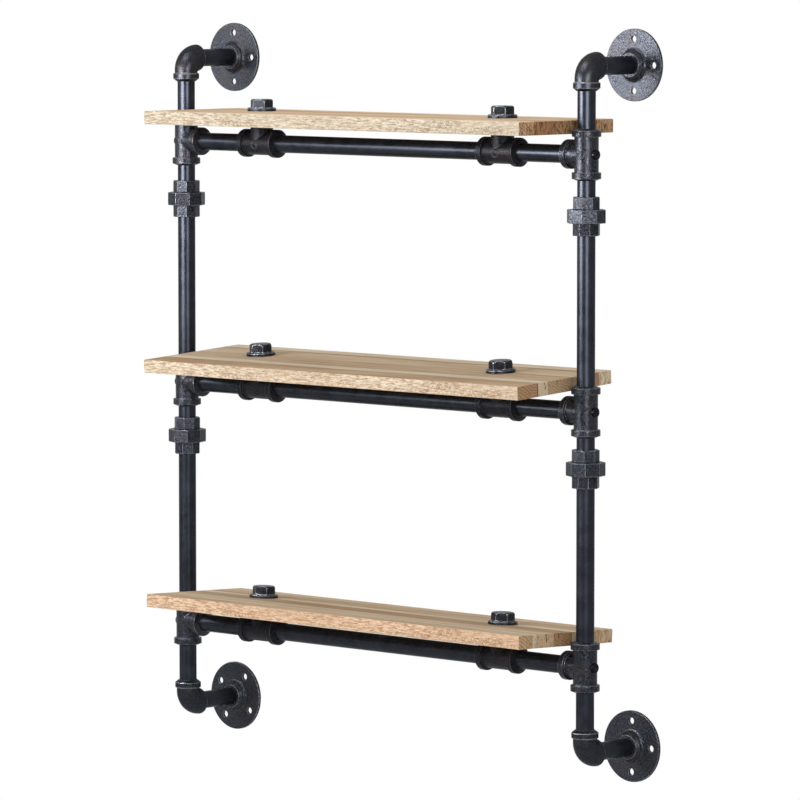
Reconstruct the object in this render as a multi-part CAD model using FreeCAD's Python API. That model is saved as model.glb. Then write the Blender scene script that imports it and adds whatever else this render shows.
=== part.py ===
import FreeCAD, Part
import math
import os
from FreeCAD import Placement, Rotation, Vector

# Wall-mounted pipe shelving unit: two screwed pipe uprights, three cross runs and three boards.
#
# Frame: the wall is the plane Y = 0 and the unit stands out of it towards -Y. X runs along the boards,
# Z is up, and the origin is the middle of the four wall flanges. All sizes are in millimetres.

# ---------------------------------------------------------------- pipe and screwed joints
pipe_od = 21.3                # half-inch pipe
pipe_wall = 2.6
thread_depth = 13.0           # how far a pipe end goes into a fitting
thread_play = 0.05            # radial play between a screwed end and its socket

# ---------------------------------------------------------------- castings: tees and elbows
fitting_wall = 3.5            # tee wall round a socket
band_proud = 2.9              # the band at each mouth of a tee stands this far off the body
band_length = 7.3             # a tee's band up to where its end face tapers in
band_round = 1.0              # rounding of the band's shoulder
band_taper = 2.2              # height of the tapered end face of a tee's band
mouth_lip = 0.9               # flat left round the socket inside the taper
throat = 6.3                  # from the side of the crossing pipe to the end of a screwed-in pipe
branch_step = 0.4             # the tee's branch is this much slimmer than its run, in radius
branch_blend = 1.6            # fillet where the branch meets the run
elbow_wall = 3.3              # elbow wall round the socket of the upright's leg
elbow_swell = 2.4             # the bend grows this much in radius towards the wall leg
elbow_band_proud = 1.9
elbow_band_length = 6.5
elbow_band_taper = 3.4
elbow_rim = 0.7               # straight rim of the wall leg, past the bend
elbow_rim_taper = 1.6
elbow_leg_grip = 11.6         # how far the upright's nipple goes into the elbow
elbow_wall_grip = 9.0         # how far the wall nipple goes into the elbow
heel = 0.5                    # inner corner left in the elbow's bend
bend_sections = 7

# ---------------------------------------------------------------- wall flanges
flange_od = 84.4
flange_thickness = 3.3
flange_rim_round = 0.9
hub_height = 8.4
hub_mouth_round = 0.9
hub_base_proud = 6.0          # hub radius over the pipe's, at the plate
hub_mouth_proud = 3.9         # hub radius over the pipe's, at the mouth
hub_root_blend = 4.4
flange_lip = 1.6              # lip at the wall side that the wall nipple stops on
bolt_circle = 60.3
flange_hole = 8.0
flange_hole_count = 4

# ---------------------------------------------------------------- unions
union_sides = 8               # the nut and both ends have this many flats
union_end_length = 14.5       # each end's eight-sided part
union_end_wall = 4.3          # round the socket, at the flats
union_nut_height = 16.0
union_nut_wall = 2.9          # round the screwed bore, at the flats
union_lip = 4.0               # thickness of the nut's lip
union_neck_wall = 3.3         # wall of the collar end where it passes the nut's lip
union_collar_step = 2.7       # the collar that the nut draws down stands this far off the neck
union_screw_step = 1.6        # the screwed boss of the thread end stands this far off the collar
union_nose = 2.6              # height of the ground cone between the two ends
union_nose_step = 5.0         # the cone's wide end is this far outside the pipe's bore
union_nose_tip = 2.5          # the cone's narrow end is this far outside the pipe's bore
union_edge = 0.7              # chamfer along the eight-sided edges
nut_play = 0.3                # radial play between the nut's lip and the neck

# ---------------------------------------------------------------- boards and what holds them
board_length = 610.0
board_depth = 165.0
board_thickness = 16.0
board_edge_round = 1.2
board_recess = 6.85           # depth of the recess that the tee's mouth band sits in
board_recess_play = 0.4       # radial play of the band in the recess
board_hole_play = 0.5         # radial play of the bolt's shank in the board
board_end_gap = 3.55          # from the board's end to the bands of the upright's tee
board_wall_gap = 14.4         # from the wall to the board's back edge
bolt_inset = 109.0            # from the board's end to the bolt's axis

# ---------------------------------------------------------------- shelf bolts
bolt_flats = 24.6             # across the flats of the hexagon head
bolt_head_height = 10.2
bolt_head_round = 3.2
bolt_collar = 35.0            # diameter of the collar under the head
bolt_collar_height = 4.4
bolt_collar_bevel = 1.0
bolt_end_gap = 3.5            # from the end of the shank to the bottom of the tee's socket
bolt_tip_chamfer = 1.2

# ---------------------------------------------------------------- screws that draw the runs into the tees
screw_head = 12.0
screw_head_height = 2.8
screw_head_round = 1.0
screw_shank = 6.0
screw_play = 0.25             # radial play of the shank in the tee's wall
screw_key_flats = 4.0
screw_key_depth = 1.8
screw_face_depth = 0.6        # flat cut in the tee for the head
screw_grip = 8.0              # screwed length in the plug
plug_length = 9.0             # plug pressed in the run's outer end

# ---------------------------------------------------------------- layout of the whole unit
shelf_names = ("top", "middle", "bottom")
shelf_pitch = 297.0           # from one cross run to the next
flange_rise = 101.5           # from the end cross runs to the flanges' axes
standoff = 86.0               # from the wall to the uprights' axes
run_turns = (0.0, 3.5, -2.3)  # degrees each board, its tees and bolts turn about the run, front edge down
union_gaps = (18.6, 13.8)     # bare pipe between a tee and the union below it, top one first

# How far the loose-turned pieces are turned about their own axes, in degrees
flange_turns = {("left", "upper"): 0.0, ("right", "upper"): 0.0, ("left", "lower"): 56.0, ("right", "lower"): 0.0}
collar_turns = {("left", 0): 22.5, ("left", 1): 8.0, ("right", 0): 0.0, ("right", 1): 12.0}
nut_turns = {("left", 0): 31.0, ("left", 1): 22.5, ("right", 0): 5.0, ("right", 1): 17.0}
thread_end_turns = {("left", 0): 22.5, ("left", 1): 2.0, ("right", 0): 33.0, ("right", 1): 30.0}
bolt_turns = {("left", 0): 57.0, ("left", 1): 55.0, ("left", 2): 59.0,
              ("right", 0): 55.0, ("right", 1): 4.0, ("right", 2): 5.0}

# ---------------------------------------------------------------- sizes that follow from the above
pipe_r = pipe_od / 2
bore_r = pipe_r - pipe_wall
socket_r = pipe_r + thread_play
body_r = socket_r + fitting_wall
band_r = body_r + band_proud
branch_r = body_r - branch_step
tee_seat = pipe_r + throat
tee_reach = tee_seat + thread_depth
leg_r = socket_r + elbow_wall
leg_band_r = leg_r + elbow_band_proud
rim_r = leg_r + elbow_swell
mouth_r = socket_r + mouth_lip
bend_r = rim_r + heel
elbow_seat = bend_r
elbow_reach = elbow_seat + elbow_leg_grip
elbow_wall_reach = bend_r + elbow_rim + elbow_rim_taper
elbow_wall_seat = elbow_wall_reach - elbow_wall_grip
nut_half = union_nut_height / 2
union_half = nut_half + union_end_length
union_seat = union_half - thread_depth
union_end_flats = 2 * (socket_r + union_end_wall)
neck_r = socket_r + union_neck_wall
collar_r = neck_r + union_collar_step
union_screw_r = collar_r + union_screw_step
union_nut_flats = 2 * (union_screw_r + thread_play + union_nut_wall)
collar_height = nut_half - union_lip
nose_r = bore_r + union_nose_step
nose_tip_r = bore_r + union_nose_tip
board_lift = tee_reach - board_recess
board_top = board_lift + board_thickness
board_overhang = board_depth - (standoff - board_wall_gap)
upright_spacing = board_length + 2 * (board_end_gap + band_r)
inner_tee_spacing = board_length - 2 * bolt_inset
bolt_length = board_top - tee_seat - bolt_end_gap
screw_face = body_r - screw_face_depth
screw_length = screw_face + tee_seat + screw_grip
flange_mouth = flange_thickness + hub_height
middle_shelf = (len(shelf_names) - 1) / 2
flange_z = shelf_pitch * middle_shelf + flange_rise

AXIS_X = Vector(1, 0, 0)
AXIS_Y = Vector(0, 1, 0)
AXIS_Z = Vector(0, 0, 1)
ORIGIN = Vector(0, 0, 0)
HEX_SIDES = 6
SIDES = {"left": -1, "right": 1}


def run_height(shelf):
    """Height of a shelf's cross run, counted from the top one."""
    return shelf_pitch * (middle_shelf - shelf)


def revolve(outline):
    """Solid of revolution about Z. outline holds (radius, height) points and (mid, end) pairs for arcs."""
    edges = []
    start = outline[0]
    for item in list(outline[1:]) + [outline[0]]:
        if isinstance(item[0], tuple):
            middle, end = item
            points = [Vector(r, 0, z) for r, z in (start, middle, end)]
            edges.append(Part.Arc(*points).toShape())
        else:
            end = item
            edges.append(Part.makeLine(Vector(start[0], 0, start[1]), Vector(end[0], 0, end[1])))
        start = end
    return Part.Face(Part.Wire(edges)).revolve(ORIGIN, AXIS_Z, 360)


def cylinder(radius, bottom, top):
    """Round bar along Z between two heights."""
    return Part.makeCylinder(radius, top - bottom, Vector(0, 0, bottom))


def polygon_corner(flats, sides):
    """Radius to the corners of a regular polygon, from its width across the flats."""
    return flats / 2 / math.cos(math.pi / sides)


def prism(flats, sides, bottom, top, edge=0.0):
    """Upright prism of a regular polygon, with its two rims chamfered where edge is given."""
    corner_r = polygon_corner(flats, sides)
    corners = []
    for i in range(sides + 1):
        angle = 2 * math.pi * (i + 0.5) / sides
        corners.append(Vector(corner_r * math.cos(angle), corner_r * math.sin(angle), bottom))
    bar = Part.Face(Part.makePolygon(corners)).extrude(Vector(0, 0, top - bottom))
    if edge > 0:
        rims = [e for e in bar.Edges if e.BoundBox.ZLength < edge]
        bar = bar.makeChamfer(edge, rims)
    return bar


def corner_arc(centre, radius, start_deg, end_deg):
    """Middle and end point of an arc in an outline, about centre, between two directions."""
    def at(angle):
        turn = math.radians(angle)
        return (centre[0] + radius * math.cos(turn), centre[1] + radius * math.sin(turn))
    return (at((start_deg + end_deg) / 2), at(end_deg))


def aim(shape, place, direction=AXIS_Z, turn=0.0):
    """Copy of a shape built along Z, turned about Z, pointed along direction and set at place."""
    moved = shape.copy()
    pose = Placement(place, Rotation(AXIS_Z, direction)).multiply(Placement(ORIGIN, Rotation(AXIS_Z, turn)))
    moved.Placement = pose.multiply(moved.Placement)
    return moved


def pipe(length):
    """Plain pipe from Z = 0 to its length."""
    return cylinder(pipe_r, 0, length).cut(cylinder(bore_r, 0, length))


def band(radius, reach, taper, length):
    """Reinforcing band whose tapered mouth ends at Z = reach, with the body's core inside it."""
    foot = reach - taper - length
    shoulder_r = radius - band_round
    return revolve([
        (0, foot),
        (shoulder_r, foot),
        corner_arc((shoulder_r, foot + band_round), band_round, -90, 0),
        (radius, reach - taper),
        (mouth_r, reach),
        (0, reach),
    ])


def socket(reach, seat):
    """Space inside a mouth along +Z: the screwed socket down to its seat, then the bore."""
    return cylinder(socket_r, seat, reach).fuse(cylinder(bore_r, 0, seat))


def make_tee(with_screw_hole):
    """Banded tee with its run along Z and its branch along +X."""
    shoulder = tee_reach - band_taper
    run = cylinder(body_r, -shoulder, shoulder)
    branch = aim(cylinder(branch_r, 0, shoulder), ORIGIN, AXIS_X)
    body = run.fuse(branch).removeSplitter()
    saddle = [e for e in body.Edges if e.Curve.TypeId == "Part::GeomBSplineCurve"]
    body = body.makeFillet(branch_blend, saddle)
    for direction in (AXIS_Z, AXIS_Z.negative(), AXIS_X):
        body = body.fuse(aim(band(band_r, tee_reach, band_taper, band_length), ORIGIN, direction))
    for direction in (AXIS_Z, AXIS_Z.negative(), AXIS_X):
        body = body.cut(aim(socket(tee_reach, tee_seat), ORIGIN, direction))
    if with_screw_hole:
        back = AXIS_X.negative()
        body = body.cut(aim(cylinder(screw_shank / 2 + screw_play, 0, body_r), ORIGIN, back))
        body = body.cut(aim(cylinder(screw_head / 2 + screw_play, screw_face, band_r), ORIGIN, back))
    return body.removeSplitter()


def quarter_bend(radius, middle_r):
    """Quarter ring that turns from the -Z axis to the +Y axis on a given radius."""
    section = Part.Face(Part.Wire(Part.Circle(Vector(0, 0, -middle_r), AXIS_Z, radius).toShape()))
    return section.revolve(Vector(0, middle_r, -middle_r), AXIS_X.negative(), 90)


def swelling_bend():
    """Outside of an elbow's bend from its -Z leg to its +Y leg, its radius growing towards the +Y end."""
    hinge = Vector(0, bend_r, -bend_r)
    sections = []
    for i in range(bend_sections):
        part_way = i / (bend_sections - 1)
        radius = leg_r + elbow_swell * part_way
        section = Part.Wire(Part.Circle(Vector(0, 0, -bend_r), AXIS_Z, radius).toShape())
        section.rotate(hinge, AXIS_X, -90 * part_way)
        sections.append(section)
    return Part.makeLoft(sections, True)


def make_elbow():
    """Elbow with a banded leg down along -Z and a short swelled leg towards the wall along +Y."""
    down = AXIS_Z.negative()
    rim_top = elbow_wall_reach - elbow_rim_taper
    rim = revolve([
        (0, bend_r),
        (rim_r, bend_r),
        (rim_r, rim_top),
        (mouth_r, elbow_wall_reach),
        (0, elbow_wall_reach),
    ])
    shoulder = elbow_reach - elbow_band_taper
    body = swelling_bend().fuse(aim(cylinder(leg_r, bend_r, shoulder), ORIGIN, down))
    leg_band = band(leg_band_r, elbow_reach, elbow_band_taper, elbow_band_length)
    body = body.fuse(aim(leg_band, ORIGIN, down))
    body = body.fuse(aim(rim, ORIGIN, AXIS_Y))
    space = aim(cylinder(socket_r, elbow_seat, elbow_reach), ORIGIN, down)
    space = space.fuse(aim(cylinder(socket_r, elbow_wall_seat, elbow_wall_reach), ORIGIN, AXIS_Y))
    space = space.fuse(quarter_bend(bore_r, elbow_wall_seat))
    space = space.fuse(aim(cylinder(bore_r, elbow_wall_seat, elbow_seat), ORIGIN, down))
    return body.cut(space).removeSplitter()


def make_flange():
    """Round wall flange: back at Z = 0, hub towards +Z, four screw holes."""
    rim = flange_od / 2
    hub_foot = pipe_r + hub_base_proud
    hub_mouth = pipe_r + hub_mouth_proud
    plate = flange_thickness
    body = revolve([
        (0, 0),
        (rim, 0),
        (rim, plate - flange_rim_round),
        corner_arc((rim - flange_rim_round, plate - flange_rim_round), flange_rim_round, 0, 90),
        (hub_foot + hub_root_blend, plate),
        corner_arc((hub_foot + hub_root_blend, plate + hub_root_blend), hub_root_blend, 270, 180),
        (hub_mouth, flange_mouth - hub_mouth_round),
        corner_arc((hub_mouth - hub_mouth_round, flange_mouth - hub_mouth_round), hub_mouth_round, 0, 90),
        (0, flange_mouth),
    ])
    body = body.cut(cylinder(socket_r, flange_lip, flange_mouth))
    body = body.cut(cylinder(bore_r, 0, flange_lip))
    for i in range(flange_hole_count):
        angle = 2 * math.pi * i / flange_hole_count
        hole = cylinder(flange_hole / 2, 0, plate)
        hole.translate(Vector(math.cos(angle), math.sin(angle), 0) * (bolt_circle / 2))
        body = body.cut(hole)
    return body


def make_union_collar():
    """Collar end of a union: eight-sided head on top, neck, collar and ground cone at Z = 0."""
    head = prism(union_end_flats, union_sides, nut_half, union_half, union_edge)
    tail = revolve([
        (0, -union_nose),
        (nose_tip_r, -union_nose),
        (nose_r, 0),
        (collar_r, 0),
        (collar_r, collar_height),
        (neck_r, collar_height),
        (neck_r, nut_half),
        (0, nut_half),
    ])
    space = cylinder(socket_r, union_seat, union_half).fuse(cylinder(bore_r, -union_nose, union_seat))
    return head.fuse(tail).cut(space).removeSplitter()


def make_union_thread_end():
    """Screwed end of a union: eight-sided head below, screwed boss with the cone's seat at Z = 0."""
    head = prism(union_end_flats, union_sides, -union_half, -nut_half, union_edge)
    boss = cylinder(union_screw_r, -nut_half, 0)
    seat = revolve([
        (0, -union_nose),
        (nose_tip_r, -union_nose),
        (nose_r, 0),
        (0, 0),
    ])
    space = cylinder(socket_r, -union_half, -union_seat).fuse(cylinder(bore_r, -union_seat, 0))
    return head.fuse(boss).cut(space.fuse(seat)).removeSplitter()


def make_union_nut():
    """Eight-sided union nut: screwed bore below, lip over the collar above."""
    bar = prism(union_nut_flats, union_sides, -nut_half, nut_half, union_edge)
    screwed = cylinder(union_screw_r + thread_play, -nut_half, collar_height)
    mouth = cylinder(neck_r + nut_play, collar_height, nut_half)
    return bar.cut(screwed.fuse(mouth))


def make_board():
    """Shelf board about its run's axis: X along the board, bored and recessed for the two inner tees."""
    board = Part.makeBox(board_length, board_depth, board_thickness,
                         Vector(-board_length / 2, -board_overhang, board_lift))
    board = board.makeFillet(board_edge_round, board.Edges)
    for sign in SIDES.values():
        middle = Vector(sign * inner_tee_spacing / 2, 0, 0)
        board = board.cut(aim(cylinder(pipe_r + board_hole_play, board_lift, board_top), middle))
        board = board.cut(aim(cylinder(band_r + board_recess_play, board_lift, tee_reach), middle))
    return board


def make_shelf_bolt():
    """Shelf bolt with the collar's underside at Z = 0: hexagon head, collar and pipe-threaded shank."""
    shoulder = bolt_collar_height
    crown = shoulder + bolt_head_height
    head = prism(bolt_flats, HEX_SIDES, shoulder, crown)
    corner_r = polygon_corner(bolt_flats, HEX_SIDES)
    dome = revolve([
        (0, shoulder),
        (corner_r, shoulder),
        (corner_r, crown - bolt_head_round),
        corner_arc((corner_r - bolt_head_round, crown - bolt_head_round), bolt_head_round, 0, 90),
        (0, crown),
    ])
    rim_r = bolt_collar / 2
    stem = revolve([
        (0, -bolt_length),
        (pipe_r - bolt_tip_chamfer, -bolt_length),
        (pipe_r, bolt_tip_chamfer - bolt_length),
        (pipe_r, 0),
        (rim_r, 0),
        (rim_r, shoulder - bolt_collar_bevel),
        (rim_r - bolt_collar_bevel, shoulder),
        (0, shoulder),
    ])
    return head.common(dome).fuse(stem)


def make_tee_screw():
    """Screw with a low round head whose underside is at Z = 0, shank along -Z."""
    head_r = screw_head / 2
    shoulder_r = head_r - screw_head_round
    profile = [
        (0, -screw_length),
        (screw_shank / 2, -screw_length),
        (screw_shank / 2, 0),
        (head_r, 0),
        (head_r, screw_head_height - screw_head_round),
        corner_arc((shoulder_r, screw_head_height - screw_head_round), screw_head_round, 0, 90),
        (0, screw_head_height),
    ]
    key = prism(screw_key_flats, HEX_SIDES, screw_head_height - screw_key_depth, screw_head_height)
    return revolve(profile).cut(key)


def make_end_plug():
    """Plug pressed in the outer end of a run, tapped for the tee screw: Z = 0 to its length."""
    return cylinder(bore_r, 0, plug_length).cut(cylinder(screw_shank / 2 + thread_play, 0, plug_length))


def straight(start, end):
    """Pipe between two points."""
    run = end.sub(start)
    return aim(pipe(run.Length), start, run.normalize())


def build_upright(nodes, shared, side):
    """One upright: flanges, elbows, tees, unions and the pipes that join them, from the top down."""
    x = SIDES[side] * upright_spacing / 2
    inward = AXIS_X * -SIDES[side]

    def axis_point(z):
        return Vector(x, -standoff, z)

    for end, up in (("upper", 1), ("lower", -1)):
        centre = axis_point(up * flange_z)
        wall = Vector(x, 0, up * flange_z)
        nodes[f"{side}_{end}_flange"] = aim(make_flange(), wall, AXIS_Y.negative(), flange_turns[side, end])
        nodes[f"{side}_{end}_wall_nipple"] = straight(centre.add(AXIS_Y * elbow_wall_seat),
                                                      wall.sub(AXIS_Y * flange_lip))
        elbow = make_elbow()
        if up < 0:
            elbow = elbow.mirror(ORIGIN, AXIS_Z)
        nodes[f"{side}_{end}_elbow"] = aim(elbow, centre)
        outer_run = up * shelf_pitch * middle_shelf
        nodes[f"{side}_{end}_nipple"] = straight(centre.sub(AXIS_Z * (up * elbow_seat)),
                                                 axis_point(outer_run + up * tee_seat))

    tee = make_tee(with_screw_hole=True)
    for shelf, name in enumerate(shelf_names):
        centre = axis_point(run_height(shelf))
        nodes[f"{side}_{name}_tee"] = aim(tee, centre, turn=0 if side == "left" else 180)
        shared["tee_screws"].append(aim(make_tee_screw(), centre.sub(inward * screw_face), inward.negative()))
        shared["run_end_plugs"].append(aim(make_end_plug(), centre.add(inward * tee_seat), inward))

    for gap, name in enumerate(("upper", "lower")):
        middle = run_height(gap) - tee_reach - union_gaps[gap] - union_half
        centre = axis_point(middle)
        nodes[f"{side}_{name}_short_nipple"] = straight(axis_point(middle + union_seat),
                                                        axis_point(run_height(gap) - tee_seat))
        nodes[f"{side}_{name}_union_collar"] = aim(make_union_collar(), centre, turn=collar_turns[side, gap])
        nodes[f"{side}_{name}_union_thread_end"] = aim(make_union_thread_end(), centre,
                                                       turn=thread_end_turns[side, gap])
        shared["union_nuts"].append(aim(make_union_nut(), centre, turn=nut_turns[side, gap]))
        nodes[f"{side}_{name}_long_pipe"] = straight(axis_point(run_height(gap) - shelf_pitch + tee_seat),
                                                     axis_point(middle - union_seat))


def build_shelf(nodes, shared, shelf, name):
    """One cross run with its two inner tees, its board and the board's two bolts."""
    z = run_height(shelf)
    half = inner_tee_spacing / 2

    def axis_point(x):
        return Vector(x, -standoff, z)

    def about_run(shape):
        shape.rotate(axis_point(0), AXIS_X, run_turns[shelf])
        return shape

    tee = make_tee(with_screw_hole=False)
    tee.rotate(ORIGIN, AXIS_Y, -90)
    for side, sign in SIDES.items():
        nodes[f"{name}_{side}_shelf_tee"] = about_run(aim(tee, axis_point(sign * half)))
        nodes[f"{name}_{side}_side_nipple"] = straight(
            axis_point(sign * (half + tee_seat)), axis_point(sign * (upright_spacing / 2 - tee_seat)))
        seat = axis_point(sign * half).add(AXIS_Z * board_top)
        shared["shelf_bolts"].append(about_run(aim(make_shelf_bolt(), seat, turn=bolt_turns[side, shelf])))
    nodes[f"{name}_centre_pipe"] = straight(axis_point(-half + tee_seat), axis_point(half - tee_seat))
    nodes[f"{name}_board"] = about_run(aim(make_board(), axis_point(0)))


def main():
    """Build every node and write one STEP file for each."""
    nodes = {}
    shared = {"union_nuts": [], "tee_screws": [], "run_end_plugs": [], "shelf_bolts": []}
    for side in SIDES:
        build_upright(nodes, shared, side)
    for shelf, name in enumerate(shelf_names):
        build_shelf(nodes, shared, shelf, name)
    for name, solids in shared.items():
        nodes[name] = Part.makeCompound(solids)
    os.makedirs("parts", exist_ok=True)
    for name, shape in nodes.items():
        shape.exportStep(f"parts/{name}.step")
        print(name, len(shape.Solids), "valid" if shape.isValid() else "INVALID", round(shape.Volume))


main()
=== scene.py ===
"""Finishes, small castings and studio of a wall-mounted pipe shelving unit.

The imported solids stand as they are. This script gives each of them its finish, adds the round
foundry marks on the top shelf's tees, and sets the unit over a plain pale floor. Lengths are in
metres in the frame of the solids: the wall is the plane Y = 0, the unit stands out of it towards
-Y, X runs along the boards and Z is up.
"""

import logging
import math
from dataclasses import dataclass, field
from enum import Enum
from typing import Any

import bmesh
import bpy
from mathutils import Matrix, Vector


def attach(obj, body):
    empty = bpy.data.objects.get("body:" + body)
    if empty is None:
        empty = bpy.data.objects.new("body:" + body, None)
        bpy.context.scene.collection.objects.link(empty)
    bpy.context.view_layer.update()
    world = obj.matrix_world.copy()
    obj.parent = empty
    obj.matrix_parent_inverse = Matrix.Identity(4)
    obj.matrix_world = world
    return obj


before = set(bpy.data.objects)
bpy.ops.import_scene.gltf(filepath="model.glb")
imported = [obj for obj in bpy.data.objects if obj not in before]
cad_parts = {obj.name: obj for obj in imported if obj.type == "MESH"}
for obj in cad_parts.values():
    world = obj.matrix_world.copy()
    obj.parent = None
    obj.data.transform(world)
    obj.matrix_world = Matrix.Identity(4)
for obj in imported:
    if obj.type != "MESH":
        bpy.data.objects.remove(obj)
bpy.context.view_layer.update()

LOG = logging.getLogger("pipe_shelf")
ROOT = "root"
MM = 0.001

# Sizes of the solids that the finishes, marks and boards are laid out by.
STANDOFF = 86 * MM
SHELF_PITCH = 297 * MM
UPRIGHT_SPACING = 651.3 * MM
INNER_TEE_SPACING = 392 * MM

Triple = tuple[float, float, float]
Colour = Triple
Span = tuple[float, float]
Socket = bpy.types.NodeSocket

# Input and output numbers of the Mix node when it blends colours.
MIX_SHARE = 0
MIX_FIRST = 6
MIX_SECOND = 7
MIX_RESULT = 2

# Shares of a noise's range that a tone is spread over.
WIDE: Span = (0.3, 0.7)
MIDDLING: Span = (0.35, 0.65)

# A corner shows where the rounded normal leaves the true one: product of the two, from flat to full
# corner.
CORNER_SPAN: Span = (0.999, 0.93)
CORNER_SAMPLES = 4

WHITE: Colour = (1.0, 1.0, 1.0)
LACQUER_SHEEN: Colour = (0.25, 0.25, 0.26)

# Each strip has three numbers of its own: the first goes up by the golden share from strip to strip,
# the others are multiples of it. Times STRIP_SHIFT they say how far the strip's grain is moved.
FIRST_SEED = 0.17
GOLDEN = 0.618
SEED_FACTORS = (7.3, 13.7)
STRIP_SHIFT: Triple = (0.9, 0.35, 0.22)


def srgb(red: int, green: int, blue: int) -> Colour:
    """Linear colour of an sRGB colour given in steps of 255.

    Args:
        red: Red, 0 to 255.
        green: Green, 0 to 255.
        blue: Blue, 0 to 255.

    Returns:
        The three linear values.
    """
    def linear(step: int) -> float:
        """One channel, linear."""
        value = step / 255
        return value / 12.92 if value <= 0.04045 else ((value + 0.055) / 1.055) ** 2.4

    return (linear(red), linear(green), linear(blue))


class Side(Enum):
    """The two uprights, seen from the front."""

    LEFT = "left"
    RIGHT = "right"

    @property
    def sign(self) -> int:
        """Sign of X on this side."""
        return -1 if self is Side.LEFT else 1


class Level(Enum):
    """The three shelves, from the top down."""

    TOP = "top"
    MIDDLE = "middle"
    BOTTOM = "bottom"

    @property
    def height(self) -> float:
        """Height of the cross run that carries the board."""
        return {"top": SHELF_PITCH, "middle": 0.0, "bottom": -SHELF_PITCH}[self.value]

    @property
    def slope(self) -> float:
        """Degrees that the board dips to the front, with its tees and bolts."""
        return {"top": 0.0, "middle": 3.5, "bottom": -2.3}[self.value]


class Axis(Enum):
    """Direction that a pipe or a grain runs in."""

    X = 0
    Y = 1
    Z = 2

    def stretch(self, along: float, across: float) -> Triple:
        """Texture scale that differs along this axis.

        Args:
            along: Scale along the axis.
            across: Scale across it.

        Returns:
            The scale for X, Y and Z.
        """
        scale = [across, across, across]
        scale[self.value] = along
        return (scale[0], scale[1], scale[2])


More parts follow.
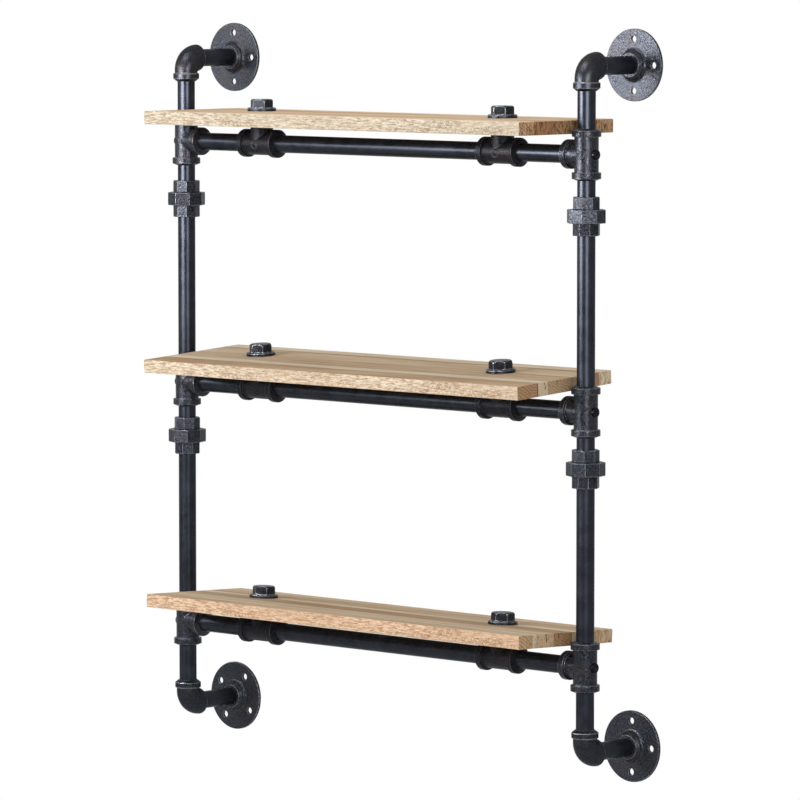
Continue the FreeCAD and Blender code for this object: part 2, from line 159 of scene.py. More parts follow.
class Graph:
    """Node tree of one material or of the world, written as calls that pass sockets on."""

    def __init__(self, owner: bpy.types.Material | bpy.types.World) -> None:
        """Start with an empty tree.

        Args:
            owner: Material or world that the tree belongs to.
        """
        owner.use_nodes = True
        self.owner = owner
        self.tree = owner.node_tree
        self.tree.nodes.clear()

    def node(self, kind: str, inputs: dict[Any, Any] | None = None, **settings: Any) -> bpy.types.Node:
        """Add a node.

        Args:
            kind: Node type without its "ShaderNode" prefix.
            inputs: Socket name or number to a value or to another node's socket.
            **settings: Properties of the node itself.

        Returns:
            The new node.
        """
        made = self.tree.nodes.new("ShaderNode" + kind)
        for key, value in settings.items():
            setattr(made, key, value)
        for key, value in (inputs or {}).items():
            self.feed(made.inputs[key], value)
        return made

    def feed(self, entry: Socket, value: Any) -> None:
        """Give an input its link or its constant.

        Args:
            entry: Input socket.
            value: Another node's socket, a number, a vector or a colour.
        """
        if isinstance(value, Socket):
            self.tree.links.new(value, entry)
        elif entry.type == "RGBA":
            entry.default_value = (*value, 1.0)
        else:
            entry.default_value = value

    def place(self) -> Socket:
        """Position in the frame of the solids."""
        return self.node("TexCoord").outputs["Object"]

    def facing(self) -> Socket:
        """Surface normal in the frame of the solids."""
        return self.node("TexCoord").outputs["Normal"]

    def axes(self, vector: Socket) -> Any:
        """Sockets X, Y and Z of a vector."""
        return self.node("SeparateXYZ", {0: vector}).outputs

    def scaled(self, vector: Socket, scale: Triple, shift: Triple = (0.0, 0.0, 0.0)) -> Socket:
        """Vector scaled by axis, then shifted."""
        made = self.node("Mapping", {"Vector": vector, "Scale": scale, "Location": shift})
        return made.outputs["Vector"]

    def vector(self, operation: str, first: Any, second: Any) -> Socket:
        """Result of one sum on vectors."""
        return self.node("VectorMath", {0: first, 1: second}, operation=operation).outputs["Vector"]

    def math(self, operation: str, first: Any, second: Any = 0.0, third: Any = 0.0) -> Socket:
        """Result of one sum on numbers."""
        return self.node("Math", {0: first, 1: second, 2: third}, operation=operation).outputs[0]

    def noise(self, vector: Socket, scale: float = 1.0, detail: float = 2.0, rough: float = 0.5,
              warp: float = 0.0) -> Socket:
        """Noise of about 0 to 1.

        Args:
            vector: Where it is read.
            scale: Lumps per metre.
            detail: Octaves.
            rough: Weight of the finer octaves.
            warp: How far the pattern is pulled about.

        Returns:
            The value.
        """
        made = self.node("TexNoise", {"Vector": vector, "Scale": scale, "Detail": detail,
                                      "Roughness": rough, "Distortion": warp})
        return made.outputs["Fac"]

    def cell_walls(self, vector: Socket) -> Socket:
        """Distance to the nearest wall between the cells of an uneven pattern."""
        made = self.node("TexVoronoi", {"Vector": vector, "Scale": 1.0}, feature="DISTANCE_TO_EDGE")
        return made.outputs["Distance"]

    def remap(self, value: Socket, span: Span, to: Span = (0.0, 1.0)) -> Socket:
        """Value from one range to another with soft ends.

        Args:
            value: What is mapped.
            span: Start and end of its range.
            to: Results at the start and at the end.

        Returns:
            The mapped value.
        """
        made = self.node("MapRange", {"Value": value, "From Min": span[0], "From Max": span[1],
                                      "To Min": to[0], "To Max": to[1]},
                         interpolation_type="SMOOTHSTEP")
        return made.outputs["Result"]

    def blend(self, share: Any, first: Any, second: Any, how: str = "MIX") -> Socket:
        """Two colours blended.

        Args:
            share: Share of the second, 0 to 1.
            first: Colour or socket.
            second: Colour or socket.
            how: Blend type.

        Returns:
            The colour.
        """
        made = self.node("Mix", {MIX_SHARE: share}, data_type="RGBA", blend_type=how)
        self.feed(made.inputs[MIX_FIRST], first)
        self.feed(made.inputs[MIX_SECOND], second)
        return made.outputs[MIX_RESULT]

    def steps(self, value: Socket, stops: list[tuple[float, Colour]], hard: bool = False) -> Socket:
        """Colour picked along a ramp.

        Args:
            value: Where on the ramp, 0 to 1.
            stops: Position and colour of each stop, in order.
            hard: Whether each stop holds its colour up to the next one.

        Returns:
            The colour.
        """
        made = self.node("ValToRGB", {"Fac": value})
        ramp = made.color_ramp
        ramp.interpolation = "CONSTANT" if hard else "LINEAR"
        while len(ramp.elements) < len(stops):
            ramp.elements.new(1.0)
        for element, (position, colour) in zip(ramp.elements, stops):
            element.position = position
            element.color = (*colour, 1.0)
        return made.outputs["Color"]

    def corners(self, radius: float) -> tuple[Socket, Socket]:
        """Rounded normal, and where it turns away from the true one.

        Args:
            radius: Radius of the rounding.

        Returns:
            The normal, and 0 on the flats to 1 on a corner.
        """
        soft = self.node("Bevel", {"Radius": radius}, samples=CORNER_SAMPLES).outputs["Normal"]
        true = self.node("NewGeometry").outputs["True Normal"]
        meet = self.node("VectorMath", {0: soft, 1: true}, operation="DOT_PRODUCT").outputs["Value"]
        return soft, self.remap(meet, CORNER_SPAN)

    def bump(self, height: Socket, depth: float, normal: Socket | None = None) -> Socket:
        """Normal of a surface with small relief.

        Args:
            height: Relief, 0 to 1.
            depth: Its height in metres.
            normal: Normal that it is added to.

        Returns:
            The normal.
        """
        inputs = {"Height": height, "Distance": depth, "Strength": 1.0}
        if normal is not None:
            inputs["Normal"] = normal
        return self.node("Bump", inputs).outputs["Normal"]

    def finish(self, inputs: dict[str, Any]) -> bpy.types.Material:
        """Close the tree with the surface shader.

        Args:
            inputs: Socket name to value or socket.

        Returns:
            The material.
        """
        shader = self.node("BsdfPrincipled", inputs)
        self.node("OutputMaterial", {"Surface": shader.outputs["BSDF"]})
        return self.owner

    def lacquer(self, tone: Socket, rough: Socket, normal: Socket, metal: float,
                gloss: float) -> bpy.types.Material:
        """Close the tree as black lacquer, whose sheen stays dark at a low angle.

        Args:
            tone: Colour.
            rough: Roughness.
            normal: Normal with the relief.
            metal: How far it answers light as metal does.
            gloss: Strength of the clear sheen.

        Returns:
            The material.
        """
        return self.finish({"Base Color": tone, "Roughness": rough, "Normal": normal, "Metallic": metal,
                            "Specular IOR Level": gloss, "Specular Tint": LACQUER_SHEEN})


@dataclass(frozen=True)
class PipeFinish:
    """Satin black lacquer on drawn steel pipe."""

    axis: Axis
    dark: Colour = srgb(34, 36, 42)
    light: Colour = srgb(42, 45, 52)
    metal: float = 0.55
    gloss: float = 0.17
    roughness: float = 0.28
    blotch_scale: float = 55.0
    mark_share: float = 0.22
    mark_depth: float = 0.012 * MM
    peel_scale: float = 620.0
    peel_depth: float = 0.02 * MM

    def build(self) -> bpy.types.Material:
        """Make the material: lengthwise draw marks, faint blotches and a light orange peel.

        Returns:
            The material.
        """
        g = Graph(bpy.data.materials.new(f"pipe_lacquer_{self.axis.name.lower()}"))
        place = g.place()
        drawn = g.scaled(place, self.axis.stretch(along=14.0, across=900.0))
        marks = g.noise(drawn, detail=3.0, rough=0.6)
        blotch = g.noise(place, self.blotch_scale, detail=3.0, rough=0.55)
        peel = g.noise(place, self.peel_scale)
        tone = g.blend(g.remap(blotch, WIDE), self.dark, self.light)
        drawn_tone = g.steps(marks, [(WIDE[0], self.dark), (WIDE[1], self.light)])
        tone = g.blend(self.mark_share, tone, drawn_tone)
        worn = g.remap(blotch, (0.25, 0.75), (self.roughness - 0.03, self.roughness + 0.03))
        rough = g.math("ADD", worn, g.remap(marks, WIDE, (-0.02, 0.03)))
        normal = g.bump(peel, self.peel_depth, g.bump(marks, self.mark_depth))
        return g.lacquer(tone, rough, normal, self.metal, self.gloss)


@dataclass(frozen=True)
class CastFinish:
    """Black lacquer over a sand-cast surface, lighter along its corners: partly rubbed wear, partly a
    painted highlight.
    """

    name: str
    dark: Colour = srgb(17, 18, 21)
    light: Colour = srgb(52, 55, 63)
    glint_grains: Colour = srgb(112, 116, 126)
    sparkle: float = 0.5
    warm: Colour = srgb(64, 53, 48)
    warmth: float = 0.2
    wear_and_glint_colour: Colour = srgb(165, 168, 178)
    wear_and_glint: float = 0.7
    corner: float = 0.9 * MM
    roughness: float = 0.36
    metal: float = 0.4
    gloss: float = 0.16
    sand: float = 0.3 * MM
    sand_scale: float = 600.0
    sand_span: Span = (0.38, 0.62)
    sparkle_scale: float = 960.0
    sparkle_span: Span = (0.52, 0.66)
    lumps: float = 0.1 * MM
    lump_scale: float = 380.0
    patch_scale: float = 42.0
    patch_span: Span = (0.45, 0.65)
    wear_and_glint_span: Span = (0.3, 0.6)
    least_wear_and_glint: float = 0.4

    def build(self) -> bpy.types.Material:
        """Make the material: sand grain in the relief, lighter grains painted as glints and faint brown
        patches.

        Returns:
            The material.
        """
        g = Graph(bpy.data.materials.new(self.name))
        place = g.place()
        soft, corner = g.corners(self.corner)
        lumps = g.noise(place, self.lump_scale, warp=0.3)
        sand = g.noise(place, self.sand_scale)
        patches = g.noise(place, self.patch_scale)
        glint_noise = g.noise(place, self.sparkle_scale, detail=1.0)
        tone = g.blend(g.remap(sand, self.sand_span), self.dark, self.light)
        # Painted glints: fine grains lightened towards a pale grey, standing in for the sand's sparkle
        # under the lamps.
        tone = g.blend(g.remap(glint_noise, self.sparkle_span, (0.0, self.sparkle)), tone, self.glint_grains)
        tone = g.blend(g.math("MULTIPLY", g.remap(patches, self.patch_span), self.warmth), tone, self.warm)
        # Corners lightened towards a pale grey: partly rubbed wear, partly a painted highlight where the
        # rims would catch the light.
        worn = g.math("MULTIPLY", corner, g.remap(lumps, self.wear_and_glint_span, (self.least_wear_and_glint, 1.0)))
        tone = g.blend(g.math("MULTIPLY", worn, self.wear_and_glint), tone, self.wear_and_glint_colour)
        rough = g.remap(lumps, WIDE, (self.roughness - 0.05, self.roughness + 0.07))
        normal = g.bump(sand, self.sand, g.bump(lumps, self.lumps, soft))
        return g.lacquer(tone, rough, normal, self.metal, self.gloss)


@dataclass(frozen=True)
class FastenerFinish:
    """Smooth black finish of bolts and screws, lighter along the corners: partly rubbed wear, partly a
    painted highlight.
    """

    name: str
    dark: Colour = srgb(33, 35, 40)
    light: Colour = srgb(43, 45, 51)
    wear_and_glint_colour: Colour = srgb(172, 174, 184)
    wear_and_glint: float = 0.8
    corner: float = 1.2 * MM
    roughness: float = 0.31
    metal: float = 0.42
    gloss: float = 0.25
    mottle_scale: float = 240.0
    mottle_span: Span = (0.35, 0.65)
    wear_and_glint_span: Span = (0.3, 0.55)
    peel_scale: float = 700.0
    peel_depth: float = 0.04 * MM

    def build(self) -> bpy.types.Material:
        """Make the material: rounded corners, edges lightened as wear and as a painted highlight, light
        mottling.

        Returns:
            The material.
        """
        g = Graph(bpy.data.materials.new(self.name))
        place = g.place()
        soft, corner = g.corners(self.corner)
        mottle = g.noise(place, self.mottle_scale, detail=3.0, rough=0.6)
        # Corners lightened towards a pale grey: partly rubbed wear, partly a painted highlight on the
        # facet edges.
        worn = g.math("MULTIPLY", corner, g.remap(mottle, self.wear_and_glint_span))
        tone = g.blend(g.remap(mottle, self.mottle_span), self.dark, self.light)
        tone = g.blend(g.math("MULTIPLY", worn, self.wear_and_glint), tone, self.wear_and_glint_colour)
        rough = g.remap(mottle, WIDE, (self.roughness - 0.04, self.roughness + 0.06))
        normal = g.bump(g.noise(place, self.peel_scale), self.peel_depth, soft)
        return g.lacquer(tone, rough, normal, self.metal, self.gloss)


class Tone(Enum):
    """Colours of the oak strips, as they look on a board's face."""

    PALE = srgb(228, 214, 190)
    SAND = srgb(215, 194, 165)
    TAN = srgb(204, 179, 148)
    BROWN = srgb(188, 158, 126)
    JOINT = srgb(142, 114, 86)


Strips = tuple[tuple[float, Tone], ...]


@dataclass(frozen=True)
class Grain:
    """Patterns of the wood that a board's faces share."""

    moved: Socket
    tone: Socket
    ring: Socket
    streak: Socket
    cloud: Socket
    cracked: Socket


@dataclass(frozen=True)
class OakFinish:
    """Board glued up from oak strips, lightly oiled: long grain on top, pores and rays at the edges."""

    name: str
    strips: Strips
    run_height: float
    slope: float
    edge_tint: Colour
    end_tint: Colour
    end_pores: float
    standoff: float = STANDOFF
    lift: float = 23.1 * MM
    front: float = -179.4 * MM
    depth: float = 165 * MM
    glue: Colour = srgb(152, 124, 98)
    glue_width: float = 0.5
    edge_light: Colour = srgb(246, 232, 207)
    edge_dark: Colour = srgb(190, 158, 124)
    pore: Colour = srgb(112, 82, 56)
    end_dark: Colour = srgb(88, 62, 42)
    ring_pitch: float = 7.5 * MM
    ring_span: Span = (0.16, 0.46)
    ring_bow: float = 14.0
    ring_bend: float = 7.0
    ring_wave: float = 1.1
    streak_share: float = 0.40
    ring_share: float = 0.22
    pale_share: float = 0.30
    dash_share: float = 0.5
    crack_share: float = 0.5
    end_ring_share: float = 0.38
    end_pore_share: float = 0.85
    end_gamma: float = 1.15
    turned_span: Span = (0.45, 0.8)
    roughness: Span = (0.48, 0.62)
    streak_relief: float = 0.6
    relief_depth: float = 0.12 * MM

    def strip_stops(self) -> list[tuple[float, Colour]]:
        """Colours of the strips from the front edge to the back one, with glue lines.

        Returns:
            Stops of a ramp across the board.
        """
        total = sum(width for width, _ in self.strips)
        stops = []
        start = 0.0
        for width, tone in self.strips:
            if start > 0:
                stops.append(((start - self.glue_width) / total, self.glue))
            stops.append((start / total, tone.value))
            start += width
        return stops

    def seed_stops(self) -> list[tuple[float, Colour]]:
        """Three numbers for each strip, spread evenly, so that its grain is its own.

        Returns:
            Stops of a ramp across the board.
        """
        total = sum(width for width, _ in self.strips)
        stops = []
        start = 0.0
        for index, (width, _) in enumerate(self.strips):
            first = math.modf(FIRST_SEED + index * GOLDEN)[0]
            second, third = (math.modf(first * factor)[0] for factor in SEED_FACTORS)
            stops.append((start / total, (first, second, third)))
            start += width
        return stops

    def board_place(self, g: Graph) -> Socket:
        """Position on the board, laid level, with Z = 0 at its underside.

        Args:
            g: Tree that it is made in.

        Returns:
            The position.
        """
        centre = (0.0, -self.standoff, self.run_height)
        level = g.node("VectorRotate", {"Vector": g.place(), "Center": centre,
                                        "Angle": math.radians(-self.slope)}, rotation_type="X_AXIS")
        return g.scaled(level.outputs["Vector"], (1.0, 1.0, 1.0),
                        (0.0, 0.0, -self.run_height - self.lift))

    def rings(self, g: Graph, moved: Socket, seed: Socket) -> Socket:
        """Growth rings, leaning another way in each strip.

        Args:
            g: Tree that they are made in.
            moved: Position, shifted by strip.
            seed: Three numbers of the strip.

        Returns:
            0 between two rings to 1 on a ring.
        """
        axes = g.axes(moved)
        seeds = g.node("SeparateColor", {0: seed}).outputs
        lean = g.math("MULTIPLY_ADD", seeds["Green"], 2.0, -1.0)
        across = g.math("ADD", axes["Y"], g.math("MULTIPLY", axes["Z"], lean))
        bowed = g.math("MULTIPLY", axes["Z"], g.math("MULTIPLY", axes["Z"], self.ring_bow))
        bend = g.noise(g.scaled(moved, Axis.X.stretch(along=3.0, across=24.0)), detail=3.0)
        wave = g.noise(g.scaled(moved, Axis.X.stretch(along=40.0, across=120.0)))
        turns = g.math("DIVIDE", g.math("ADD", across, bowed), self.ring_pitch)
        turns = g.math("ADD", turns, g.math("MULTIPLY", bend, self.ring_bend))
        turns = g.math("ADD", turns, g.math("MULTIPLY", wave, self.ring_wave))
        phase = g.math("FRACT", turns)
        return g.remap(g.math("ABSOLUTE", g.math("SUBTRACT", phase, 0.5)), self.ring_span)

    def grain(self, g: Graph) -> Grain:
        """Lay the wood's patterns out, each strip from another part of the tree.

        Args:
            g: Tree that they are made in.

        Returns:
            The patterns.
        """
        place = self.board_place(g)
        across = g.node("MapRange", {"Value": g.axes(place)["Y"], "From Min": self.front,
                                     "From Max": self.front + self.depth}).outputs["Result"]
        tone = g.steps(across, self.strip_stops(), hard=True)
        seed = g.steps(across, self.seed_stops(), hard=True)
        moved = g.vector("ADD", place, g.vector("MULTIPLY", seed, STRIP_SHIFT))
        streak = g.noise(g.scaled(moved, Axis.X.stretch(along=9.0, across=420.0)), detail=3.0, rough=0.6)
        cloud = g.noise(g.scaled(moved, Axis.X.stretch(along=5.0, across=30.0)), detail=3.0, rough=0.55)
        crack = g.cell_walls(g.scaled(moved, Axis.X.stretch(along=170.0, across=250.0)))
        patch = g.noise(g.scaled(moved, Axis.X.stretch(along=11.0, across=60.0)))
        cracked = g.math("MULTIPLY", g.remap(crack, (0.10, 0.0)), g.remap(patch, (0.45, 0.6)))
        return Grain(moved, tone, self.rings(g, moved, seed), streak, cloud, cracked)

    def face_colour(self, g: Graph, grain: Grain) -> Socket:
        """Long grain of the top and the underside.

        Args:
            g: Tree that it is made in.
            grain: Patterns of the wood.

        Returns:
            The colour.
        """
        streaked = g.remap(grain.streak, MIDDLING, (0.0, self.streak_share))
        face = g.blend(streaked, grain.tone, self.glue, "MULTIPLY")
        face = g.blend(g.math("MULTIPLY", grain.ring, self.ring_share), face, self.glue)
        return g.blend(g.remap(grain.cloud, WIDE, (0.0, self.pale_share)), face, Tone.PALE.value)

    def edge_colour(self, g: Graph, grain: Grain) -> Socket:
        """Short dashes and fine cracks of the front and back edges.

        Args:
            g: Tree that it is made in.
            grain: Patterns of the wood.

        Returns:
            The colour.
        """
        fleck = g.noise(g.scaled(grain.moved, Axis.X.stretch(along=110.0, across=900.0)), detail=3.0,
                        rough=0.6)
        dash = g.noise(g.scaled(grain.moved, Axis.X.stretch(along=210.0, across=1050.0)))
        edge = g.blend(g.remap(fleck, (0.38, 0.68)), self.edge_light, self.edge_dark)
        edge = g.blend(g.remap(dash, (0.55, 0.66), (0.0, self.dash_share)), edge, self.pore)
        edge = g.blend(g.remap(grain.cloud, MIDDLING, (0.05, 0.35)), edge, grain.tone)
        edge = g.blend(g.math("MULTIPLY", grain.cracked, self.crack_share), edge, self.pore)
        return g.blend(1.0, edge, self.edge_tint, "MULTIPLY")

    def end_colour(self, g: Graph, grain: Grain) -> Socket:
        """Darker end grain, with rings and open pores.

        Args:
            g: Tree that it is made in.
            grain: Patterns of the wood.

        Returns:
            The colour.
        """
        pores = g.noise(g.scaled(grain.moved, (40.0, 330.0, 120.0)), detail=4.0, rough=0.7, warp=1.5)
        end = g.node("Gamma", {"Color": grain.tone, "Gamma": self.end_gamma}).outputs[0]
        end = g.blend(1.0, end, self.end_tint, "MULTIPLY")
        end = g.blend(g.math("MULTIPLY", grain.ring, self.end_ring_share), end, self.end_dark)
        cut = g.remap(pores, (self.end_pores, self.end_pores + 0.12), (0.0, self.end_pore_share))
        return g.blend(cut, end, self.end_dark)

    def build(self) -> bpy.types.Material:
        """Make the material, with another look on the faces, the edges and the ends.

        Returns:
            The material.
        """
        g = Graph(bpy.data.materials.new(self.name))
        grain = self.grain(g)
        normal = g.axes(g.facing())
        is_end = g.remap(g.math("ABSOLUTE", normal["X"]), self.turned_span)
        is_edge = g.remap(g.math("ABSOLUTE", normal["Y"]), self.turned_span)
        colour = g.blend(is_edge, self.face_colour(g, grain), self.edge_colour(g, grain))
        colour = g.blend(is_end, colour, self.end_colour(g, grain))
        raised = g.math("MULTIPLY", grain.streak, self.streak_relief)
        sunken = g.math("MULTIPLY", grain.cracked, is_edge)
        relief = g.bump(g.math("SUBTRACT", raised, sunken), self.relief_depth)
        rough = g.remap(grain.streak, WIDE, self.roughness)
        # No gloss at all: with any, the tops whiten when they are seen at a low angle.
        return g.finish({"Base Color": colour, "Roughness": rough, "Normal": relief,
                         "Specular IOR Level": 0.0})


@dataclass
class CastingMark:
    """Plain raised ring on the front of a tee, as a foundry leaves one: no letters, no sign."""

    name: str
    centre: Vector
    axis: Axis
    turn: float = 0.0
    body_radius: float = 14.2 * MM
    ring_radius: float = 4.2 * MM
    ring_width: float = 0.75 * MM
    ring_height: float = 0.45 * MM
    rim_widths: float = 2.2
    dome_height: float = 0.22 * MM
    dome_share: float = 0.62
    seat: float = 0.04 * MM
    sink: float = 0.25 * MM
    rings: int = 14
    segments: int = 40

    @property
    def rim(self) -> float:
        """Radius at which the mark goes into the tee's body."""
        return self.ring_radius + self.rim_widths * self.ring_width

    def height(self, radius: float) -> float:
        """Relief at a distance from the mark's middle.

        Args:
            radius: Distance in metres.

        Returns:
            Height over the tee's body, in metres.
        """
        bead = math.exp(-((radius - self.ring_radius) / self.ring_width) ** 2)
        dome = self.dome_height * max(0.0, 1.0 - (radius / (self.ring_radius * self.dome_share)) ** 2)
        inside = radius < self.rim * 0.999
        return self.ring_height * bead + dome - (self.seat if inside else self.sink)

    def point(self, radius: float, angle: float) -> Vector:
        """Point of the mark laid on the round body.

        Args:
            radius: Distance from the mark's middle.
            angle: Direction round it.

        Returns:
            The point in the frame of the solids.
        """
        along = radius * math.cos(angle)
        bow = radius * math.sin(angle) / self.body_radius + math.radians(self.turn)
        return self.wrapped(along, self.body_radius + self.height(radius), bow)

    def wrapped(self, along: float, reach: float, bow: float) -> Vector:
        """Point at a distance from the body's axis.

        Args:
            along: Distance along the axis, from the mark's middle.
            reach: Distance from the axis.
            bow: Angle round the axis, 0 at the front.

        Returns:
            The point in the frame of the solids.
        """
        out = -reach * math.cos(bow)
        aside = reach * math.sin(bow)
        offset = Vector((along, out, aside)) if self.axis is Axis.X else Vector((aside, out, along))
        return self.centre + offset

    def mesh(self) -> bpy.types.Mesh:
        """Net of the mark, closed at the back inside the tee's wall.

        Returns:
            The mesh.
        """
        shell = bmesh.new()
        turn = 2 * math.pi / self.segments
        middle = shell.verts.new(self.point(0.0, 0.0))
        loops = []
        for step in range(1, self.rings + 1):
            radius = self.rim * step / self.rings
            loops.append([shell.verts.new(self.point(radius, turn * i)) for i in range(self.segments)])
        deep = self.body_radius - 2 * self.sink
        back = shell.verts.new(self.wrapped(0.0, deep, math.radians(self.turn)))
        for i in range(self.segments):
            follow = (i + 1) % self.segments
            shell.faces.new((middle, loops[0][i], loops[0][follow]))
            for inner, outer in zip(loops, loops[1:]):
                shell.faces.new((inner[i], outer[i], outer[follow], inner[follow]))
            shell.faces.new((loops[-1][follow], loops[-1][i], back))
        bmesh.ops.recalc_face_normals(shell, faces=shell.faces)
        mesh = bpy.data.meshes.new(self.name)
        shell.to_mesh(mesh)
        shell.free()
        for polygon in mesh.polygons:
            polygon.use_smooth = True
        return mesh

    def build(self, finish: bpy.types.Material) -> None:
        """Put the mark on its tee.

        Args:
            finish: Material of the casting that it is on.
        """
        mesh = self.mesh()
        mesh.materials.append(finish)
        mark = bpy.data.objects.new(self.name, mesh)
        bpy.context.scene.collection.objects.link(mark)
        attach(mark, ROOT)
        LOG.info("built %s", self.name)


@dataclass
class Shop:
    """The finishes, each made once."""

    pipes: dict[Axis, bpy.types.Material] = field(default_factory=dict)
    casts: dict[str, bpy.types.Material] = field(default_factory=dict)
    fasteners: dict[str, bpy.types.Material] = field(default_factory=dict)

    def open(self) -> None:
        """Make every metal finish."""
        # Elbows: smooth, with their corners lightened in full, partly as wear and partly as a painted
        # highlight along the rims.
        smooth: dict[str, Any] = {"dark": srgb(30, 31, 36), "light": srgb(43, 45, 51), "roughness": 0.34,
                                  "wear_and_glint_colour": srgb(160, 163, 173), "wear_and_glint": 1.0, "corner": 1.3 * MM,
                                  "sand": 0.03 * MM, "lumps": 0.04 * MM, "metal": 0.55, "sparkle": 0.03}
        casts = (
            CastFinish("cast_tee", sand=0.16 * MM, lumps=0.32 * MM, roughness=0.30, metal=0.33,
                       sparkle=0.2),
            # Darker, duller copy of the tee finish for the inner tees: painted shade, as they sit under
            # the boards.
            CastFinish("cast_run_tee_shaded", dark=srgb(13, 14, 17), light=srgb(33, 35, 41), sand=0.16 * MM,
                       lumps=0.18 * MM, roughness=0.42, metal=0.14, gloss=0.1, sparkle=0.10, wear_and_glint=0.35),
            CastFinish("cast_mark", sand=0.08 * MM, lumps=0.06 * MM, roughness=0.32, metal=0.33,
                       sparkle=0.1, wear_and_glint=0.2),
            CastFinish("cast_elbow_upper", warmth=0.22, **smooth),
            CastFinish("cast_elbow_lower", warmth=0.05, **smooth),
            # The upper flanges get more of the painted glints than the lower ones, as they catch more
            # light.
            CastFinish("cast_flange_upper", roughness=0.38, sand=0.2 * MM, lumps=0.06 * MM, sparkle=0.3),
            CastFinish("cast_flange_lower", roughness=0.38, sand=0.18 * MM, lumps=0.08 * MM, sparkle=0.22),
            CastFinish("cast_union", warmth=0.05, roughness=0.35, sand=0.19 * MM, lumps=0.04 * MM,
                       sparkle=0.16, metal=0.3),
        )
        fasteners = (
            FastenerFinish("bolt_black"),
            FastenerFinish("screw_black", dark=srgb(12, 12, 14), light=srgb(18, 18, 21), corner=0.4 * MM,
                           roughness=0.15, wear_and_glint=0.25),
        )
        self.pipes = {axis: PipeFinish(axis).build() for axis in Axis}
        self.casts = {finish.name: finish.build() for finish in casts}
        self.fasteners = {finish.name: finish.build() for finish in fasteners}


def dress(node: str, finish: bpy.types.Material) -> None:
    """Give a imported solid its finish.

    Args:
        node: Name of the solid.
        finish: Its material.
    """
    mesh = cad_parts[node].data
    for index in range(len(mesh.materials)):
        mesh.materials[index] = finish
    LOG.info("dressed %s with %s", node, finish.name)


@dataclass
class Upright:
    """One upright, from its upper wall flange to its lower one."""

    side: Side
    shop: Shop
    spacing: float = UPRIGHT_SPACING
    standoff: float = STANDOFF
    mark_turn: float = 14.0

    def dress_pipes(self) -> None:
        """Lacquer the nipples and the long pipes."""
        side = self.side.value
        for end in ("upper", "lower"):
            dress(f"{side}_{end}_wall_nipple", self.shop.pipes[Axis.Y])
            for piece in ("nipple", "short_nipple", "long_pipe"):
                dress(f"{side}_{end}_{piece}", self.shop.pipes[Axis.Z])

    def dress_castings(self) -> None:
        """Finish the flanges, elbows, tees and union ends."""
        side = self.side.value
        for end in ("upper", "lower"):
            dress(f"{side}_{end}_flange", self.shop.casts[f"cast_flange_{end}"])
            dress(f"{side}_{end}_elbow", self.shop.casts[f"cast_elbow_{end}"])
            for piece in ("union_collar", "union_thread_end"):
                dress(f"{side}_{end}_{piece}", self.shop.casts["cast_union"])
        for level in Level:
            dress(f"{side}_{level.value}_tee", self.shop.casts["cast_tee"])

    def add_marks(self) -> None:
        """Put the foundry mark on the front of the top tee; on the others it faces away."""
        centre = Vector((self.side.sign * self.spacing / 2, -self.standoff, Level.TOP.height))
        name = f"{self.side.value}_{Level.TOP.value}_tee_mark"
        mark = CastingMark(name, centre, Axis.Z, turn=self.side.sign * self.mark_turn)
        mark.build(self.shop.casts["cast_mark"])

    def build(self) -> None:
        """Dress and complete the upright."""
        self.dress_pipes()
        self.dress_castings()
        self.add_marks()


@dataclass
class CrossRun:
    """One cross run with its two inner tees."""

    level: Level
    shop: Shop
    tee_spacing: float = INNER_TEE_SPACING
    standoff: float = STANDOFF
    mark_turn: float = -8.0

    def dress_pipes(self) -> None:
        """Lacquer the three pipes."""
        for piece in ("left_side_nipple", "right_side_nipple", "centre_pipe"):
            dress(f"{self.level.value}_{piece}", self.shop.pipes[Axis.X])

    def dress_tees(self) -> None:
        """Finish the two inner tees with the darker tee finish, whose darkness is painted shade under the
        boards.
        """
        for side in Side:
            dress(f"{self.level.value}_{side.value}_shelf_tee", self.shop.casts["cast_run_tee_shaded"])

    def add_marks(self) -> None:
        """Put a foundry mark on the front of each inner tee."""
        for side in Side:
            centre = Vector((side.sign * self.tee_spacing / 2, -self.standoff, self.level.height))
            name = f"{self.level.value}_{side.value}_shelf_tee_mark"
            mark = CastingMark(name, centre, Axis.X, turn=self.mark_turn - self.level.slope)
            mark.build(self.shop.casts["cast_run_tee_shaded"])

    def build(self) -> None:
        """Dress and complete the run; only the top one's marks face the front."""
        self.dress_pipes()
        self.dress_tees()
        if self.level is Level.TOP:
            self.add_marks()


@dataclass
class ShelfBoard:
    """One board, with the widths and tones of its strips from front to back."""

    level: Level
    strips: Strips
    edge_tint: Colour
    end_tint: Colour
    end_pores: float

    def build(self) -> None:
        """Oil the board."""
        finish = OakFinish(f"oak_{self.level.value}", self.strips, self.level.height, self.level.slope,
                           self.edge_tint, self.end_tint, self.end_pores)
        dress(f"{self.level.value}_board", finish.build())


@dataclass
class Fasteners:
    """Bolts, nuts, screws and plugs that are shared by the whole unit."""

    shop: Shop

    def build(self) -> None:
        """Finish each group."""
        dress("union_nuts", self.shop.casts["cast_union"])
        dress("shelf_bolts", self.shop.fasteners["bolt_black"])
        dress("tee_screws", self.shop.fasteners["screw_black"])
        dress("run_end_plugs", self.shop.fasteners["screw_black"])


class Work(Enum):
    """What a soft box is there for."""

    SHADE = "shade"
    SHEEN = "sheen"


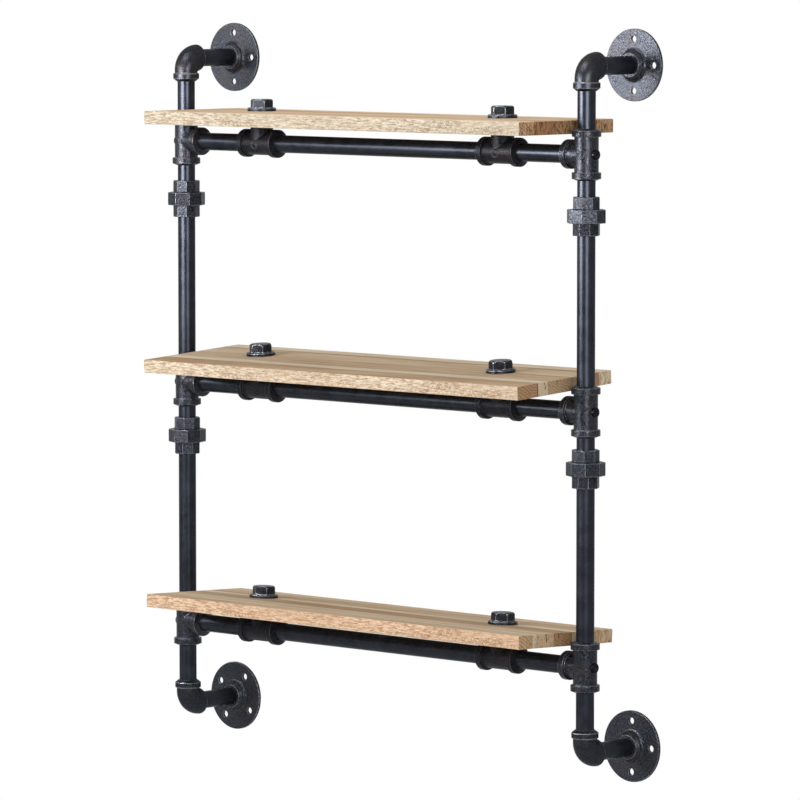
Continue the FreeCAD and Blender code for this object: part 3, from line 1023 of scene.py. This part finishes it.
@dataclass(frozen=True)
class Lamp:
    """One soft box, placed by its direction from the middle of the unit."""

    name: str
    work: Work
    azimuth: float
    elevation: float
    distance: float
    width: float
    height: float
    brightness: float
    lift: float = 0.0

    def build(self) -> None:
        """Set the soft box up, turned to the unit. Azimuth 0 is the front, 90 the right end."""
        turn = math.radians(self.azimuth)
        rise = math.radians(self.elevation)
        out = Vector((math.sin(turn) * math.cos(rise), -math.cos(turn) * math.cos(rise), math.sin(rise)))
        light = bpy.data.lights.new(self.name, "AREA")
        light.shape = "RECTANGLE"
        light.size = self.width
        light.size_y = self.height
        light.energy = self.brightness * math.pi * self.width * self.height
        lamp = bpy.data.objects.new(self.name, light)
        lamp.location = out * self.distance + Vector((0, 0, self.lift))
        lamp.rotation_euler = out.to_track_quat("Z", "Y").to_euler()
        lamp.visible_camera = False
        lamp.visible_diffuse = self.work is Work.SHADE
        lamp.visible_glossy = self.work is Work.SHEEN
        bpy.context.scene.collection.objects.link(lamp)


@dataclass
class Studio:
    """Plain pale floor, soft light and the camera."""

    floor_height: float = -0.80
    floor_radius: float = 5.0
    floor_sides: int = 96
    floor_dark: Colour = (0.80, 0.80, 0.80)
    floor_light: Colour = (0.84, 0.84, 0.84)
    floor_glow: float = 0.45
    fade: Span = (0.9, 1.9)
    world_light: float = 0.52
    camera_place: Triple = (4.5456, -4.9454, 0.5450)
    camera_yaw: float = 42.882
    camera_pitch: float = 4.722
    focal_pixels: float = 5589.4
    picture_pixels: float = 800.0
    sensor: float = 36.0
    far_clip: float = 100.0

    @staticmethod
    def seen_rays(g: Graph) -> Socket:
        """1 for rays that show the backdrop: straight from the camera, mirrored or passing through.

        Args:
            g: Tree that it is made in.

        Returns:
            The value.
        """
        rays = g.node("LightPath").outputs
        seen = g.math("MAXIMUM", rays["Is Camera Ray"], rays["Is Glossy Ray"])
        return g.math("MAXIMUM", seen, rays["Is Transmission Ray"])

    def build_world(self) -> None:
        """Soft grey light all round, and a white backdrop."""
        world = bpy.data.worlds.new("studio_world")
        bpy.context.scene.world = world
        g = Graph(world)
        soft = g.node("Background", {"Color": WHITE, "Strength": self.world_light}).outputs[0]
        white = g.node("Background", {"Color": WHITE, "Strength": 1.0}).outputs[0]
        mixed = g.node("MixShader", {0: self.seen_rays(g), 1: soft, 2: white}).outputs[0]
        g.node("OutputWorld", {"Surface": mixed})

    def build_floor(self) -> None:
        """Round pale floor that keeps the unit's shadow and fades into the backdrop at its rim."""
        g = Graph(bpy.data.materials.new("studio_floor"))
        place = g.place()
        flat = g.vector("MULTIPLY", place, (1.0, 1.0, 0.0))
        reach = g.node("VectorMath", {0: flat}, operation="LENGTH").outputs["Value"]
        seen = self.seen_rays(g)
        tone = g.blend(g.remap(g.noise(place, 3.0), WIDE), self.floor_dark, self.floor_light)
        lit = g.node("BsdfDiffuse", {"Color": tone}).outputs[0]
        glow = g.node("Emission", {"Strength": g.math("MULTIPLY", seen, self.floor_glow)}).outputs[0]
        near = g.node("AddShader", {0: lit, 1: glow}).outputs[0]
        white = g.node("Emission", {"Strength": 1.0}).outputs[0]
        share = g.math("MULTIPLY", g.remap(reach, self.fade), seen)
        mixed = g.node("MixShader", {0: share, 1: near, 2: white}).outputs[0]
        g.node("OutputMaterial", {"Surface": mixed})
        shell = bmesh.new()
        bmesh.ops.create_circle(shell, cap_ends=True, segments=self.floor_sides, radius=self.floor_radius)
        mesh = bpy.data.meshes.new("studio_floor")
        shell.to_mesh(mesh)
        shell.free()
        mesh.materials.append(g.owner)
        floor = bpy.data.objects.new("studio_floor", mesh)
        floor.location = (0.0, 0.0, self.floor_height)
        bpy.context.scene.collection.objects.link(floor)

    def build_lamps(self) -> None:
        """Wide boxes that shade the unit, and smaller bright ones that draw the sheen on the lacquer."""
        lamps = (
            Lamp("front_shade", Work.SHADE, azimuth=-20.0, elevation=0.0, distance=3.0, width=2.0,
                 height=1.4, brightness=5.6, lift=1.0),
            Lamp("side_shade", Work.SHADE, azimuth=56.0, elevation=0.0, distance=3.4, width=1.6,
                 height=1.6, brightness=2.0, lift=0.8),
            Lamp("top_shade", Work.SHADE, azimuth=0.0, elevation=88.0, distance=3.0, width=2.4,
                 height=2.4, brightness=2.5),
            Lamp("key_sheen", Work.SHEEN, azimuth=-17.0, elevation=0.0, distance=1.6, width=0.9,
                 height=0.5, brightness=56.0, lift=0.35),
            Lamp("left_sheen", Work.SHEEN, azimuth=-44.0, elevation=0.0, distance=2.1, width=1.2,
                 height=0.5, brightness=10.0, lift=0.62),
            Lamp("right_sheen", Work.SHEEN, azimuth=53.0, elevation=0.0, distance=2.6, width=1.1,
                 height=1.0, brightness=30.0, lift=0.55),
            Lamp("high_sheen", Work.SHEEN, azimuth=-8.0, elevation=56.0, distance=2.4, width=1.5,
                 height=0.9, brightness=15.0),
        )
        for lamp in lamps:
            lamp.build()

    def build_camera(self) -> None:
        """Long lens level with the top of the unit, from the front right."""
        lens = bpy.data.cameras.new("camera")
        lens.sensor_fit = "HORIZONTAL"
        lens.sensor_width = self.sensor
        lens.lens = self.focal_pixels / self.picture_pixels * self.sensor
        lens.clip_end = self.far_clip
        camera = bpy.data.objects.new("camera", lens)
        camera.location = self.camera_place
        pitch = math.radians(90.0 - self.camera_pitch)
        camera.rotation_euler = (pitch, 0.0, math.radians(self.camera_yaw))
        bpy.context.scene.collection.objects.link(camera)
        bpy.context.scene.camera = camera

    def build(self) -> None:
        """Set the whole studio up."""
        self.build_world()
        self.build_floor()
        self.build_lamps()
        self.build_camera()
        bpy.context.scene.view_settings.view_transform = "Standard"


# Width in millimetres and tone of each board's strips, from the front edge to the back one.
STRIPS: dict[Level, Strips] = {
    Level.TOP: ((26, Tone.SAND), (38, Tone.BROWN), (30, Tone.TAN), (41, Tone.BROWN), (30, Tone.SAND)),
    Level.MIDDLE: ((33.6, Tone.BROWN), (1.4, Tone.JOINT), (18, Tone.PALE), (42, Tone.TAN), (40, Tone.SAND),
                   (7, Tone.BROWN), (23, Tone.PALE)),
    Level.BOTTOM: ((23, Tone.TAN), (8, Tone.PALE), (30, Tone.SAND), (31, Tone.BROWN), (16, Tone.PALE),
                   (32, Tone.TAN), (25, Tone.SAND)),
}

# Tint of the front and back edges.
EDGE_TINTS: dict[Level, Colour] = {
    Level.TOP: (0.895, 0.925, 0.97),
    Level.MIDDLE: (0.97, 0.96, 0.97),
    Level.BOTTOM: (0.92, 0.78, 0.72),
}

# Tint of the ends, and the level of noise that their pores open at: lower means more of them.
ENDS: dict[Level, tuple[Colour, float]] = {
    Level.TOP: ((1.0, 0.81, 0.71), 0.47),
    Level.MIDDLE: ((0.98, 0.94, 0.89), 0.56),
    Level.BOTTOM: ((1.0, 0.93, 0.87), 0.53),
}


def main() -> None:
    """Dress the unit piece by piece and set up the studio."""
    logging.basicConfig(level=logging.INFO, format="%(name)s: %(message)s")
    shop = Shop()
    shop.open()
    for side in Side:
        Upright(side, shop).build()
    for level in Level:
        CrossRun(level, shop).build()
        ShelfBoard(level, STRIPS[level], EDGE_TINTS[level], *ENDS[level]).build()
    Fasteners(shop).build()
    Studio().build()


if __name__ == "__main__":
    main()
